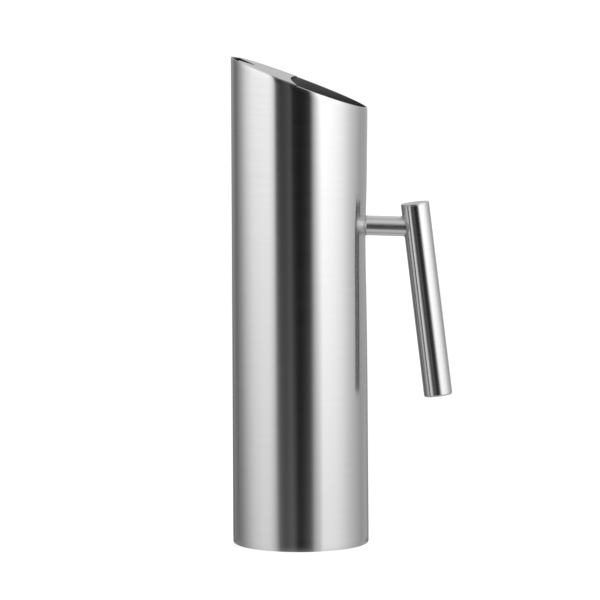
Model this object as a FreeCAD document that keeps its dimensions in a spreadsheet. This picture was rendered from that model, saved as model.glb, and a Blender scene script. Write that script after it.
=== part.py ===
import FreeCAD, Part
import math
import os

import Sketcher

# A tall, slant-topped water pitcher in brushed stainless steel, in millimetres.
#
# Frame: the origin is on the axis of the round body, on the plane that the pitcher stands on.
# +Z is up the body, the spout's tip points to -X and the bar handle stands out to +X, so the
# pitcher is symmetric about the plane Y = 0.

doc = FreeCAD.newDocument("water_pitcher")

# --------------------------------------------------------------------------------------
# Driving dimensions: millimetres, and degrees where the name says slope, droop or tilt
# --------------------------------------------------------------------------------------

SIZES = {
    # body: a welded tube, cut slantwise at the top, butt-welded to a pressed base pan
    "body_diameter": 90.0,
    "wall": 1.0,
    "rim_height": 306.6,  # on the body's axis
    "rim_slope": 20.6,
    "rim_rounding": 0.42,
    "seam_height": 6.0,
    # base pan, pressed from one disc
    "base_corner": 1.6,
    "foot_ring_width": 5.0,
    "foot_recess": 2.2,
    "foot_edge": 1.3,
    "recess_corner": 0.8,
    "seam_bead": 0.8,
    # ice guard: a flat plate along the slanted plane; distances run down the slope from the tip
    "guard_sheet": 1.2,
    "guard_proud": 0.45,  # how far its top face stands above the rim's plane
    "guard_front": 5.7,
    "slot_end": 16.9,
    "slot_end_radius": 7.0,
    "slot_mouth": 26.0,
    "guard_rear_middle": 42.2,
    "guard_rear_radius": 222.0,
    "guard_bead": 1.0,
    # stem: a round tube between body and grip, its axis given where it crosses the body's axis
    "stem_diameter": 13.0,
    "stem_wall": 1.2,
    "stem_axis_height": 212.9,
    "stem_droop": 1.9,
    "weld_leg": 1.1,
    # grip: a straight tube with a disc welded into each end, hung from its top centre
    "grip_diameter": 18.8,
    "grip_wall": 1.2,
    "grip_length": 129.2,
    "grip_tilt": 6.84,
    "grip_top_reach": 76.1,
    "grip_top_height": 226.3,
    "cap_sheet": 1.5,
    "cap_edge": 0.4,
    "end_cap_height": 2.4,
    "end_cap_rounding": 1.3,
}

sizes = doc.addObject("Spreadsheet::Sheet", "sizes")
for row, (name, value) in enumerate(SIZES.items(), start=1):
    sizes.set(f"A{row}", name)
    sizes.set(f"B{row}", str(value))
    sizes.setAlias(f"B{row}", name)
doc.recompute()


def size(name):
    """The sheet's value under one alias."""
    return float(sizes.get(name))


# --------------------------------------------------------------------------------------
# Small helpers
# --------------------------------------------------------------------------------------

Z_AXIS = FreeCAD.Vector(0, 0, 1)
Y_AXIS = FreeCAD.Vector(0, 1, 0)
ORIGIN = FreeCAD.Vector(0, 0, 0)


def bind(thing, **formulas):
    """Bind properties of an object to the sheet; a double underscore stands for a dot."""
    for prop, formula in formulas.items():
        thing.setExpression(prop.replace("__", "."), formula)


def turn_about_y(thing, formula):
    """Turn an object's Placement about +Y by an angle worked out in degrees."""
    thing.Placement = FreeCAD.Placement(ORIGIN, FreeCAD.Rotation(Y_AXIS, 1.0))
    thing.setExpression("Placement.Rotation.Angle", formula)


def new_body(label):
    """An empty PartDesign body."""
    body = doc.addObject("PartDesign::Body", label)
    body.Label = label
    return body


def plane_of(body, role):
    """One of a body's own origin planes."""
    return [item for item in body.Origin.OriginFeatures if item.Role == role][0]


def new_sketch(body, name, role="XY_Plane"):
    """A sketch on one of the body's own origin planes."""
    sketch = body.newObject("Sketcher::SketchObject", name)
    sketch.AttachmentSupport = [(plane_of(body, role), "")]
    sketch.MapMode = "FlatFace"
    return sketch


def add_circle(sketch, name, formula):
    """A circle about the sketch's origin, with its radius bound to the sheet."""
    index = sketch.addGeometry(Part.Circle(ORIGIN, Z_AXIS, 10.0), False)
    sketch.addConstraint(Sketcher.Constraint("Coincident", index, 3, -1, 1))
    sketch.addConstraint(Sketcher.Constraint("Radius", index, 10.0))
    sketch.renameConstraint(sketch.ConstraintCount - 1, name)
    sketch.setExpression(f"Constraints.{name}", formula)
    return index


def edges_where(shape, test):
    """Names of a shape's edges that pass a test."""
    return [f"Edge{i}" for i, edge in enumerate(shape.Edges, start=1) if test(edge)]


def faces_where(shape, test):
    """Names of a shape's faces that pass a test."""
    return [f"Face{i}" for i, face in enumerate(shape.Faces, start=1) if test(face)]


def level_circle(radius, level):
    """A test for a full circle of one radius that lies level at one height."""
    def test(edge):
        box = edge.BoundBox
        flat = box.ZLength < 0.01 and abs(box.ZMin - level) < 0.01
        return flat and abs(box.XLength / 2 - radius) < 0.01
    return test


def flat_facing(direction):
    """A test for a flat face that looks along a direction."""
    def test(face):
        if not isinstance(face.Surface, Part.Plane):
            return False
        return face.normalAt(0, 0).dot(direction) > 0.999
    return test


def cylinder(name, radius, height):
    """An upright Part cylinder with both sizes bound to the sheet."""
    item = doc.addObject("Part::Cylinder", name)
    bind(item, Radius=radius, Height=height)
    return item


def cut(name, base, tool):
    """base minus tool."""
    item = doc.addObject("Part::Cut", name)
    item.Base = base
    item.Tool = tool
    return item


def common(name, *shapes):
    """What several shapes share."""
    item = doc.addObject("Part::MultiCommon", name)
    item.Shapes = list(shapes)
    return item


# --------------------------------------------------------------------------------------
# Body shell: a tube with a slanted, fully rounded rim
# --------------------------------------------------------------------------------------


# Above the seam: the rim's height on the axis, and what the slope adds one diameter out from it
RIM_LEVEL = "(sizes.rim_height - sizes.seam_height)"
RIM_RISE = "(sizes.body_diameter * tan(sizes.rim_slope * 1 deg))"


def make_body_shell():
    """Pad a ring, cut its top off along the slope, then round both edges of the cut."""
    body = new_body("body_shell")
    body.Placement = FreeCAD.Placement(ORIGIN, FreeCAD.Rotation())
    bind(body, Placement__Base__z="sizes.seam_height")

    ring = new_sketch(body, "shell_ring")
    add_circle(ring, "outside", "sizes.body_diameter / 2")
    add_circle(ring, "inside", "sizes.body_diameter / 2 - sizes.wall")
    tube = body.newObject("PartDesign::Pad", "shell_tube")
    tube.Profile = ring
    bind(tube, Length=f"{RIM_LEVEL} + {RIM_RISE}")

    # the cutting triangle: one side lies in the slanted plane, one stands upright behind the tip
    slope = new_sketch(body, "slope_cut", "XZ_Plane")
    high = FreeCAD.Vector(-60, 330, 0)
    low = FreeCAD.Vector(60, 280, 0)
    corner = FreeCAD.Vector(60, 330, 0)
    slanted = slope.addGeometry(Part.LineSegment(high, low), False)
    upright = slope.addGeometry(Part.LineSegment(low, corner), False)
    level = slope.addGeometry(Part.LineSegment(corner, high), False)
    for constraint in (
        ("Coincident", slanted, 2, upright, 1),
        ("Coincident", upright, 2, level, 1),
        ("Coincident", level, 2, slanted, 1),
        ("Vertical", upright),
        ("Horizontal", level),
    ):
        slope.addConstraint(Sketcher.Constraint(*constraint))
    ends = {
        "high_x": (("DistanceX", -1, 1, slanted, 1, -60.0), "-sizes.body_diameter"),
        "low_x": (("DistanceX", -1, 1, slanted, 2, 60.0), "sizes.body_diameter"),
        "high_z": (("DistanceY", -1, 1, slanted, 1, 330.0), f"{RIM_LEVEL} + {RIM_RISE}"),
        "low_z": (("DistanceY", -1, 1, slanted, 2, 280.0), f"{RIM_LEVEL} - {RIM_RISE}"),
    }
    for name, (constraint, formula) in ends.items():
        slope.addConstraint(Sketcher.Constraint(*constraint))
        slope.renameConstraint(slope.ConstraintCount - 1, name)
        slope.setExpression(f"Constraints.{name}", formula)
    doc.recompute()
    whole = tube.Shape.Volume

    mouth = body.newObject("PartDesign::Pocket", "slanted_mouth")
    mouth.Profile = slope
    mouth.Type = "ThroughAll"
    mouth.Midplane = True
    doc.recompute()
    if mouth.Shape.Volume > 0.99 * whole:
        raise RuntimeError("the slanted cut takes nothing off the shell")

    slant = math.radians(size("rim_slope"))
    up_slope = FreeCAD.Vector(math.sin(slant), 0, math.cos(slant))
    rounding = body.newObject("PartDesign::Fillet", "rim_rounding")
    rounding.Base = (mouth, faces_where(mouth.Shape, flat_facing(up_slope)))
    bind(rounding, Radius="sizes.rim_rounding")
    return body


# --------------------------------------------------------------------------------------
# Base pan: one pressed disc with a rounded foot ring and a raised middle
# --------------------------------------------------------------------------------------


def make_base_pan():
    """Press the pan's outer form, then hollow it to the sheet's thickness from above."""
    body = new_body("base_pan")
    disc = new_sketch(body, "pan_disc")
    add_circle(disc, "outside", "sizes.body_diameter / 2")
    blank = body.newObject("PartDesign::Pad", "pan_blank")
    blank.Profile = disc
    bind(blank, Length="sizes.seam_height")

    recess = new_sketch(body, "pan_recess")
    add_circle(
        recess,
        "recess_radius",
        "sizes.body_diameter / 2 - sizes.base_corner - sizes.foot_ring_width",
    )
    doc.recompute()
    pressed = body.newObject("PartDesign::Pocket", "pan_pressed")
    pressed.Profile = recess
    bind(pressed, Length="sizes.foot_recess")
    pressed.Reversed = True
    doc.recompute()
    if pressed.Shape.Volume > 0.99 * blank.Shape.Volume:
        raise RuntimeError("the recess cuts nothing out of the base pan")

    outside = size("body_diameter") / 2
    inside_ring = outside - size("base_corner") - size("foot_ring_width")
    form = pressed
    for name, radius, level in (
        ("base_corner", outside, 0.0),
        ("recess_corner", inside_ring, size("foot_recess")),
        ("foot_edge", inside_ring, 0.0),
    ):
        rounded = body.newObject("PartDesign::Fillet", f"pan_{name}")
        rounded.Base = (form, edges_where(form.Shape, level_circle(radius, level)))
        bind(rounded, Radius=f"sizes.{name}")
        doc.recompute()
        form = rounded

    pan = body.newObject("PartDesign::Thickness", "pan_sheet")
    pan.Base = (form, faces_where(form.Shape, flat_facing(Z_AXIS)))
    bind(pan, Value="sizes.wall")
    pan.Reversed = True
    doc.recompute()
    if pan.Shape.Volume > 0.5 * form.Shape.Volume:
        raise RuntimeError("the base pan is not hollowed")
    return body


def make_base_seam_weld():
    """The half-round bead that the butt weld leaves inside, where shell and base pan meet."""
    body = new_body("base_seam_weld")
    bind(body, Placement__Base__z="sizes.seam_height")
    section = new_sketch(body, "bead_section", "XZ_Plane")
    bore = size("body_diameter") / 2 - size("wall")
    bead = size("seam_bead")
    low = FreeCAD.Vector(bore, -bead, 0)
    crown = FreeCAD.Vector(bore - bead, 0, 0)
    high = FreeCAD.Vector(bore, bead, 0)
    flat = section.addGeometry(Part.LineSegment(low, high), False)
    section.addGeometry(Part.Arc(low, crown, high), False)
    section.addConstraint(Sketcher.Constraint("Vertical", flat))
    ring = body.newObject("PartDesign::Revolution", "bead_ring")
    ring.Profile = section
    ring.ReferenceAxis = (section, ["V_Axis"])
    ring.Angle = 360.0
    return body


# --------------------------------------------------------------------------------------
# Ice guard: a plate standing just proud of the rim, with a pouring slot behind the tip
# --------------------------------------------------------------------------------------

# The guard's own plane: its origin is where the body's axis crosses the plate's top face, and
# its x runs down the slope, so the tip is at minus half the long axis of the rim's ellipse.
GUARD_LEVEL = "sizes.rim_height + sizes.guard_proud / cos(sizes.rim_slope * 1 deg)"


def tilt_sketch(sketch):
    """Lay a sketch of the XY plane in the slanted plane of the guard's top face."""
    sketch.AttachmentOffset = FreeCAD.Placement(ORIGIN, FreeCAD.Rotation(Y_AXIS, 1.0))
    sketch.setExpression("AttachmentOffset.Base.z", GUARD_LEVEL)
    sketch.setExpression("AttachmentOffset.Rotation.Angle", "sizes.rim_slope * 1 deg")


def guard_outline():
    """Corner points of the plate's outline, worked out from the sheet, and its two arcs."""
    half = size("body_diameter") / 2
    tip = -half / math.cos(math.radians(size("rim_slope")))
    front = tip + size("guard_front")
    slot_end = tip + size("slot_end")
    slot_radius = size("slot_end_radius")
    slot_centre = slot_end - slot_radius
    mouth = size("slot_mouth") / 2

    # the slot's side runs from its mouth corner and touches the round end
    reach = math.hypot(slot_centre - front, mouth)
    bearing = math.atan2(mouth, front - slot_centre)
    spread = math.acos(slot_radius / reach)
    touch_angle = bearing - spread
    touch = FreeCAD.Vector(
        slot_centre + slot_radius * math.cos(touch_angle),
        slot_radius * math.sin(touch_angle),
        0,
    )
    rear_middle = tip + size("guard_rear_middle")
    rear_radius = size("guard_rear_radius")
    rear_end = rear_middle + rear_radius - math.sqrt(rear_radius**2 - half**2)
    return {
        "half": half,
        "front": front,
        "slot_end": slot_end,
        "mouth": mouth,
        "touch": touch,
        "rear_middle": rear_middle,
        "rear_end": rear_end,
    }


def make_ice_guard():
    """Pad the plate's outline down from its top face, then trim it to the shell's bore."""
    body = new_body("ice_guard")
    plate = new_sketch(body, "guard_outline")
    tilt_sketch(plate)
    at = guard_outline()

    def point(x, y):
        return FreeCAD.Vector(x, y, 0)

    touch = at["touch"]
    corners = [
        point(at["front"], at["half"]),
        point(at["front"], at["mouth"]),
        touch,
        point(touch.x, -touch.y),
        point(at["front"], -at["mouth"]),
        point(at["front"], -at["half"]),
        point(at["rear_end"], -at["half"]),
        point(at["rear_end"], at["half"]),
    ]
    slot_round = Part.Arc(corners[2], point(at["slot_end"], 0), corners[3])
    rear_round = Part.Arc(corners[6], point(at["rear_middle"], 0), corners[7])
    outline = [
        Part.LineSegment(corners[0], corners[1]),
        Part.LineSegment(corners[1], corners[2]),
        slot_round,
        Part.LineSegment(corners[3], corners[4]),
        Part.LineSegment(corners[4], corners[5]),
        Part.LineSegment(corners[5], corners[6]),
        rear_round,
        Part.LineSegment(corners[7], corners[0]),
    ]
    plate.addGeometry(outline, False)
    sheet = body.newObject("PartDesign::Pad", "guard_sheet")
    sheet.Profile = plate
    sheet.Reversed = True
    bind(sheet, Length="sizes.guard_sheet")
    doc.recompute()

    trim_ring = new_sketch(body, "guard_trim")
    add_circle(trim_ring, "trim_inside", "sizes.body_diameter / 2 - sizes.wall")
    add_circle(trim_ring, "trim_outside", "sizes.body_diameter")
    trim = body.newObject("PartDesign::Pocket", "guard_trimmed")
    trim.Profile = trim_ring
    trim.Type = "ThroughAll"
    trim.Midplane = True
    doc.recompute()
    if trim.Shape.Volume > 0.99 * sheet.Shape.Volume:
        raise RuntimeError("the guard is not trimmed to the bore")
    return body


def make_guard_weld(side_name, side):
    """The bead along the underside of the guard, on one side of the shell's bore."""
    at = guard_outline()
    bead = doc.addObject("Part::Box", f"guard_bead_slab_{side_name}")
    bind(
        bead,
        Length="sizes.guard_rear_middle - sizes.guard_front",
        Width="sizes.body_diameter",
        Height="sizes.guard_bead",
    )
    slope = math.radians(size("rim_slope"))
    across = 0.0 if side > 0 else -size("body_diameter")
    level = size("rim_height") + size("guard_proud") / math.cos(slope)
    below = size("guard_sheet") + size("guard_bead")
    start = FreeCAD.Vector(
        at["front"] * math.cos(slope) - below * math.sin(slope),
        across,
        level - at["front"] * math.sin(slope) - below * math.cos(slope),
    )
    bead.Placement = FreeCAD.Placement(start, FreeCAD.Rotation(Y_AXIS, size("rim_slope")))
    outer = cylinder(
        f"guard_bead_outside_{side_name}",
        "sizes.body_diameter / 2 - sizes.wall",
        "2 * sizes.rim_height",
    )
    inner = cylinder(
        f"guard_bead_inside_{side_name}",
        "sizes.body_diameter / 2 - sizes.wall - sizes.guard_bead",
        "2 * sizes.rim_height",
    )
    ring = cut(f"guard_bead_ring_{side_name}", outer, inner)
    return common(f"guard_weld_{side_name}", ring, bead)


# --------------------------------------------------------------------------------------
# Handle: a short stem and a hanging bar grip
# --------------------------------------------------------------------------------------

# How far the stem's axis runs from the body's axis to the grip's axis
STEM_REACH = (
    "(sizes.grip_top_reach + (sizes.grip_top_height - sizes.stem_axis_height)"
    " * tan(sizes.grip_tilt * 1 deg))"
    " / (cos(sizes.stem_droop * 1 deg) - sin(sizes.stem_droop * 1 deg) * tan(sizes.grip_tilt * 1 deg))"
)


def stem_cylinder(name, radius):
    """A round bar along the stem's axis, from the body's axis to the grip's axis."""
    bar = cylinder(name, radius, STEM_REACH)
    turn_about_y(bar, "90 + sizes.stem_droop")
    bind(bar, Placement__Base__z="sizes.stem_axis_height")
    return bar


def grip_cylinder(name, radius):
    """A round bar along the grip's axis, over the grip's whole length."""
    bar = cylinder(name, radius, "sizes.grip_length")
    hang_on_grip(bar, "sizes.grip_length")
    return bar


def hang_on_grip(thing, depth):
    """Place an object's origin on the grip's axis, a depth below its top, with +Z along it."""
    turn_about_y(thing, "-sizes.grip_tilt")
    bind(
        thing,
        Placement__Base__x=f"sizes.grip_top_reach + ({depth}) * sin(sizes.grip_tilt * 1 deg)",
        Placement__Base__z=f"sizes.grip_top_height - ({depth}) * cos(sizes.grip_tilt * 1 deg)",
    )


def make_handle_stem():
    """A tube, saddled at one end to the shell and at the other to the grip."""
    tube = cut(
        "stem_tube",
        stem_cylinder("stem_outside", "sizes.stem_diameter / 2"),
        stem_cylinder("stem_bore", "sizes.stem_diameter / 2 - sizes.stem_wall"),
    )
    body_side = cut(
        "stem_body_saddle",
        tube,
        cylinder("stem_body_tool", "sizes.body_diameter / 2", "sizes.rim_height"),
    )
    grip_tool = grip_cylinder("stem_grip_tool", "sizes.grip_diameter / 2")
    return cut("handle_stem", body_side, grip_tool)


def make_joint_weld(name, wall, fat_wall):
    """A bead round the stem where it meets a round wall: within one leg of stem and of wall."""
    fat_stem = stem_cylinder(f"{name}_stem_outside", "sizes.stem_diameter / 2 + sizes.weld_leg")
    stem = stem_cylinder(f"{name}_stem", "sizes.stem_diameter / 2")
    block = common(f"{name}_block", fat_stem, fat_wall)
    collar = cut(f"{name}_collar", block, stem)
    return cut(name, collar, wall)


def make_stem_root_weld():
    """The bead between the stem and the shell."""
    return make_joint_weld(
        "stem_root_weld",
        cylinder("root_wall", "sizes.body_diameter / 2", "sizes.rim_height"),
        cylinder("root_wall_outside", "sizes.body_diameter / 2 + sizes.weld_leg", "sizes.rim_height"),
    )


def make_grip_joint_weld():
    """The bead between the stem and the grip."""
    return make_joint_weld(
        "grip_joint_weld",
        grip_cylinder("grip_wall_bar", "sizes.grip_diameter / 2"),
        grip_cylinder("grip_wall_outside", "sizes.grip_diameter / 2 + sizes.weld_leg"),
    )


def make_grip_tube():
    """The grip's tube, between its two welded ends."""
    body = new_body("grip_tube")
    hang_on_grip(body, "sizes.grip_length - sizes.end_cap_height")
    ring = new_sketch(body, "grip_ring")
    add_circle(ring, "outside", "sizes.grip_diameter / 2")
    add_circle(ring, "inside", "sizes.grip_diameter / 2 - sizes.grip_wall")
    tube = body.newObject("PartDesign::Pad", "grip_pad")
    tube.Profile = ring
    bind(tube, Length="sizes.grip_length - sizes.end_cap_height - sizes.cap_sheet")
    return body


def make_cap(label, height, depth, edge_at_top, edge_size, feature):
    """A disc that closes one end of the grip, with its outer edge broken or rounded."""
    body = new_body(label)
    hang_on_grip(body, depth)
    disc = new_sketch(body, f"{label}_disc")
    add_circle(disc, "outside", "sizes.grip_diameter / 2")
    blank = body.newObject("PartDesign::Pad", f"{label}_blank")
    blank.Profile = disc
    bind(blank, Length=height)
    doc.recompute()
    level = blank.Length.Value if edge_at_top else 0.0
    outer_edge = level_circle(size("grip_diameter") / 2, level)
    edge = body.newObject(feature, f"{label}_edge")
    edge.Base = (blank, edges_where(blank.Shape, outer_edge))
    bind(edge, **{"Size" if feature.endswith("Chamfer") else "Radius": edge_size})
    return body


# --------------------------------------------------------------------------------------
# The whole pitcher
# --------------------------------------------------------------------------------------

sub_parts = [
    make_body_shell(),
    make_base_pan(),
    make_base_seam_weld(),
    make_ice_guard(),
    make_guard_weld("left", 1),
    make_guard_weld("right", -1),
    make_handle_stem(),
    make_stem_root_weld(),
    make_grip_joint_weld(),
    make_grip_tube(),
    make_cap(
        "grip_top_cap",
        "sizes.cap_sheet",
        "sizes.cap_sheet",
        True,
        "sizes.cap_edge",
        "PartDesign::Chamfer",
    ),
    make_cap(
        "grip_bottom_cap",
        "sizes.end_cap_height",
        "sizes.grip_length",
        False,
        "sizes.end_cap_rounding",
        "PartDesign::Fillet",
    ),
]
doc.recompute()

for item in doc.Objects:
    for state in ("Invalid", "Error"):
        if state in item.State:
            raise RuntimeError(f"{item.Label} did not recompute: {item.State}")

os.makedirs("parts", exist_ok=True)
for item in sub_parts:
    shape = item.Shape
    if shape.isNull() or not shape.isValid() or not shape.Solids:
        raise RuntimeError(f"{item.Label} has no valid solid")
    box = shape.BoundBox
    print(
        f"{item.Label:18s} solids {len(shape.Solids)}  volume {shape.Volume:9.1f}"
        f"  x {box.XMin:7.2f} {box.XMax:7.2f}  y {box.YMin:7.2f} {box.YMax:7.2f}"
        f"  z {box.ZMin:7.2f} {box.ZMax:7.2f}"
    )
    shape.exportStep(f"parts/{item.Label}.step")
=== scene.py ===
"""Visual model of a slant-topped water pitcher in brushed stainless steel.

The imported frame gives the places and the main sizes. Each sub-assembly below is a class that
builds its own meshes round that frame and dresses them in one of the finishes:

    PitcherBody   the rolled shell, the pressed base pan and the bead of the seam inside
    IceGuard      the slotted plate just proud of the rim and the beads under it
    Handle        the stem, the bar grip, its two end caps and the two weld beads
    Studio        the pale table, the light tent and the camera

Everything is in metres with +Z up. The origin is on the body's axis, on the table.
"""

import logging
import math
from dataclasses import dataclass
from enum import Enum

import bmesh
import bpy
import numpy as np
from mathutils import Matrix, Vector


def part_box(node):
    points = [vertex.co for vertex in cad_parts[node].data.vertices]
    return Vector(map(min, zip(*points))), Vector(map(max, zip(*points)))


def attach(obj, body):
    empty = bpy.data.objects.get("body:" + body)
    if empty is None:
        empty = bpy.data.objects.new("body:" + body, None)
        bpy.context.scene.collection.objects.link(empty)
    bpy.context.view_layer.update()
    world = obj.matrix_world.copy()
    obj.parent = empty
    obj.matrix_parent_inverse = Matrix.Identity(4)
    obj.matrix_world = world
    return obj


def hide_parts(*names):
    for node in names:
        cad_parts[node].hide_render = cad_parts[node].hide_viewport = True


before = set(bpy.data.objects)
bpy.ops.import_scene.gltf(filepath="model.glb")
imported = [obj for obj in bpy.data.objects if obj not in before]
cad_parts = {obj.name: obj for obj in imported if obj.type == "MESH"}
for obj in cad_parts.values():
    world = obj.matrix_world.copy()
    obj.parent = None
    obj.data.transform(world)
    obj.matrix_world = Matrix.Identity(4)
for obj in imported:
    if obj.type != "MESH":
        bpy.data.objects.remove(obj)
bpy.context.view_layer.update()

LOG = logging.getLogger("pitcher")
MM = 0.001
BODY = "root"
SHARP_EDGE = math.radians(32.0)
CRISP = 0.02 * MM  # radius of a corner that is ground sharp
HAIR = 0.1 * MM  # step that keeps two flat things on the table apart
ROUND_STEPS = 6  # stretches in the quarter circle of a rounded sheet edge
FACING = 0.5  # cosine beyond which a face counts as facing a direction
Array = np.ndarray
Material = bpy.types.Material
Socket = bpy.types.NodeSocket
Tree = bpy.types.NodeTree


# Meshes


class Ends(Enum):
    """What a grid of points does at its first and last row."""

    OPEN = "open"
    CAPPED = "capped"
    JOINED = "joined"


def grid_faces(rows: int, columns: int, ends: Ends) -> list[tuple[int, ...]]:
    """Quads over a grid whose columns close on themselves.

    Args:
        rows: Number of rows of points.
        columns: Number of points round each row.
        ends: Whether the last row joins the first, or both rows are capped, or neither.

    Returns:
        Index tuples, with the outside on the side where rows x columns points.
    """
    row_pairs = rows if ends is Ends.JOINED else rows - 1
    i, j = np.meshgrid(np.arange(row_pairs), np.arange(columns), indexing="ij")
    i_next = (i + 1) % rows
    j_next = (j + 1) % columns
    low, high = i * columns, i_next * columns
    corners = np.stack([low + j, low + j_next, high + j_next, high + j], axis=-1)
    faces = [tuple(face) for face in corners.reshape(-1, 4).tolist()]
    if ends is Ends.CAPPED:
        faces.append(tuple(range(columns - 1, -1, -1)))
        faces.append(tuple(range((rows - 1) * columns, rows * columns)))
    return faces


def grain_map(mesh: bpy.types.Mesh, points: Array, ends: Ends) -> None:
    """Write the UV map that the grain follows: u across the grain, v along it, in metres.

    u is the length run down a column of the grid, and v is the share of the way round a row.

    Args:
        mesh: The mesh made from the grid.
        points: The grid, as rows x columns x 3.
        ends: How the grid's first and last rows end.
    """
    rows, columns = points.shape[:2]
    steps = np.linalg.norm(np.diff(points[:, 0], axis=0), axis=1)
    run = np.concatenate([[0.0], np.cumsum(steps)])
    closing = run[-1] + float(np.linalg.norm(points[0, 0] - points[-1, 0]))
    row_pairs = rows if ends is Ends.JOINED else rows - 1
    low = run[:row_pairs]
    high = np.append(run[1:], closing)[:row_pairs]
    share = np.arange(columns + 1) / columns
    u = np.repeat(np.stack([low, low, high, high], axis=-1)[:, None, :], columns, axis=1)
    v = np.stack([share[:-1], share[1:], share[1:], share[:-1]], axis=-1)
    v = np.repeat(v[None], row_pairs, axis=0)
    quads = np.stack([u, v], axis=-1).reshape(-1)
    layer = mesh.uv_layers.new(name="grain")
    values = np.zeros(len(mesh.loops) * 2)
    values[: quads.size] = quads
    if ends is Ends.CAPPED:
        across = np.zeros(len(mesh.loops), dtype=np.int64)
        mesh.loops.foreach_get("vertex_index", across)
        cap_loops = across[quads.size // 2 :]
        flat = points.reshape(-1, 3)[cap_loops]
        values[quads.size :] = flat[:, :2].reshape(-1)
    layer.data.foreach_set("uv", values)


def grid_mesh(name: str, points: Array, ends: Ends) -> bpy.types.Mesh:
    """Make a bare mesh over a grid of points, given as rows x columns x 3."""
    mesh = bpy.data.meshes.new(name)
    mesh.from_pydata(points.reshape(-1, 3).tolist(), [], grid_faces(*points.shape[:2], ends))
    return mesh


def add_object(name: str, data: bpy.types.ID) -> bpy.types.Object:
    """Link a new object with this data into the scene, at the origin."""
    made = bpy.data.objects.new(name, data)
    bpy.context.scene.collection.objects.link(made)
    return made


def make_piece(name: str, points: Array, ends: Ends) -> bpy.types.Object:
    """Turn a grid of points into a smooth, closed mesh object at the origin.

    Args:
        name: The piece's name.
        points: The grid, as rows x columns x 3, in metres; columns close on themselves.
        ends: How the grid's first and last rows end.

    Returns:
        The linked object.
    """
    mesh = grid_mesh(name, points, ends)
    grain_map(mesh, points, ends)
    weld_and_orient(mesh)
    mesh.shade_smooth()
    mesh.set_sharp_from_angle(angle=SHARP_EDGE)
    return add_object(name, mesh)


def weld_and_orient(mesh: bpy.types.Mesh) -> None:
    """Merge doubled points, such as those of a pole, and turn every face outwards."""
    shape = bmesh.new()
    shape.from_mesh(mesh)
    bmesh.ops.remove_doubles(shape, verts=shape.verts, dist=1e-7)
    bmesh.ops.recalc_face_normals(shape, faces=shape.faces)
    shape.to_mesh(mesh)
    shape.free()
    mesh.validate()


def face_fields(mesh: bpy.types.Mesh) -> tuple[Array, Array]:
    """Read the normal and the centre of every face, each as faces x 3."""
    fields = []
    for key in ("normal", "center"):
        values = np.zeros(len(mesh.polygons) * 3)
        mesh.polygons.foreach_get(key, values)
        fields.append(values.reshape(-1, 3))
    return fields[0], fields[1]


def arc(centre: tuple[float, float], radius: float, start: float, end: float, steps: int) -> Array:
    """Points on an arc in a half-plane: centre plus radius times the cosine and sine.

    Args:
        centre: The arc's centre, as (distance from the axis, height).
        radius: Its radius.
        start: Angle of its first point, in degrees.
        end: Angle of its last point, in degrees.
        steps: How many stretches it has.

    Returns:
        steps + 1 points as rows of (distance, height).
    """
    angle = np.radians(np.linspace(start, end, steps + 1))
    return np.stack([centre[0] + radius * np.cos(angle), centre[1] + radius * np.sin(angle)], -1)


def full_circle(columns: int) -> Array:
    """Angles of a row of points that goes once round, in radians, as 1 x columns."""
    return np.linspace(0.0, 2.0 * np.pi, columns, endpoint=False)[None, :]


def quarter_turn(steps: int) -> Array:
    """Angles from 0 to 90 degrees in equal stretches, in radians."""
    return np.radians(np.linspace(0.0, 90.0, steps + 1))


def lathe(profile: Array, columns: int) -> Array:
    """Carry a profile round the Z axis: each point goes round a circle of its own radius.

    Args:
        profile: Rows of (distance from the axis, height).
        columns: Number of points round the circle.

    Returns:
        The grid, as rows x columns x 3.
    """
    angle = full_circle(columns)
    radius, height = profile[:, :1], profile[:, 1:]
    flat = np.ones_like(angle)
    return np.stack([radius * np.cos(angle), radius * np.sin(angle), height * flat], axis=-1)


def placed(points: Array, matrix: Matrix) -> Array:
    """Move a grid of points by a 4 x 4 matrix."""
    numbers = np.array(matrix)
    return points @ numbers[:3, :3].T + numbers[:3, 3]


def smooth_step(value: Array, low: float, high: float) -> Array:
    """Zero below low, one above high, and the cubic 3t^2 - 2t^3 between."""
    share = np.clip((value - low) / (high - low), 0.0, 1.0)
    return share * share * (3.0 - 2.0 * share)


# Finishes


def linear_colour(code: str) -> tuple[float, float, float, float]:
    """Turn an sRGB hex colour into linear red, green, blue and an alpha of one."""
    channels = [int(code[k : k + 2], 16) / 255.0 for k in (1, 3, 5)]
    linear = [c / 12.92 if c <= 0.04045 else ((c + 0.055) / 1.055) ** 2.4 for c in channels]
    return (*linear, 1.0)


def add_node(
    tree: Tree,
    kind: str,
    settings: dict[str, object] | None = None,
    values: dict[str | int, object] | None = None,
    links: dict[str | int, Socket] | None = None,
) -> bpy.types.Node:
    """Add one shader node, with its settings, its socket values and its incoming links.

    Args:
        tree: The node tree.
        kind: The node's type name, such as ShaderNodeTexNoise.
        settings: Attributes of the node itself.
        values: Default values of its input sockets, by name or index.
        links: Output sockets to link into its inputs, by name or index.

    Returns:
        The new node.
    """
    node = tree.nodes.new(kind)
    for key, value in (settings or {}).items():
        setattr(node, key, value)
    for key, value in (values or {}).items():
        node.inputs[key].default_value = value
    for key, socket in (links or {}).items():
        tree.links.new(socket, node.inputs[key])
    return node


def empty_tree(owner: Material | bpy.types.World) -> Tree:
    """Switch a new material or world to nodes and take out the ones it came with."""
    owner.use_nodes = True
    owner.node_tree.nodes.clear()
    return owner.node_tree


def object_place(tree: Tree) -> Socket:
    """Where a point of the surface lies in its object, in metres."""
    return add_node(tree, "ShaderNodeTexCoord").outputs["Object"]


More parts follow.
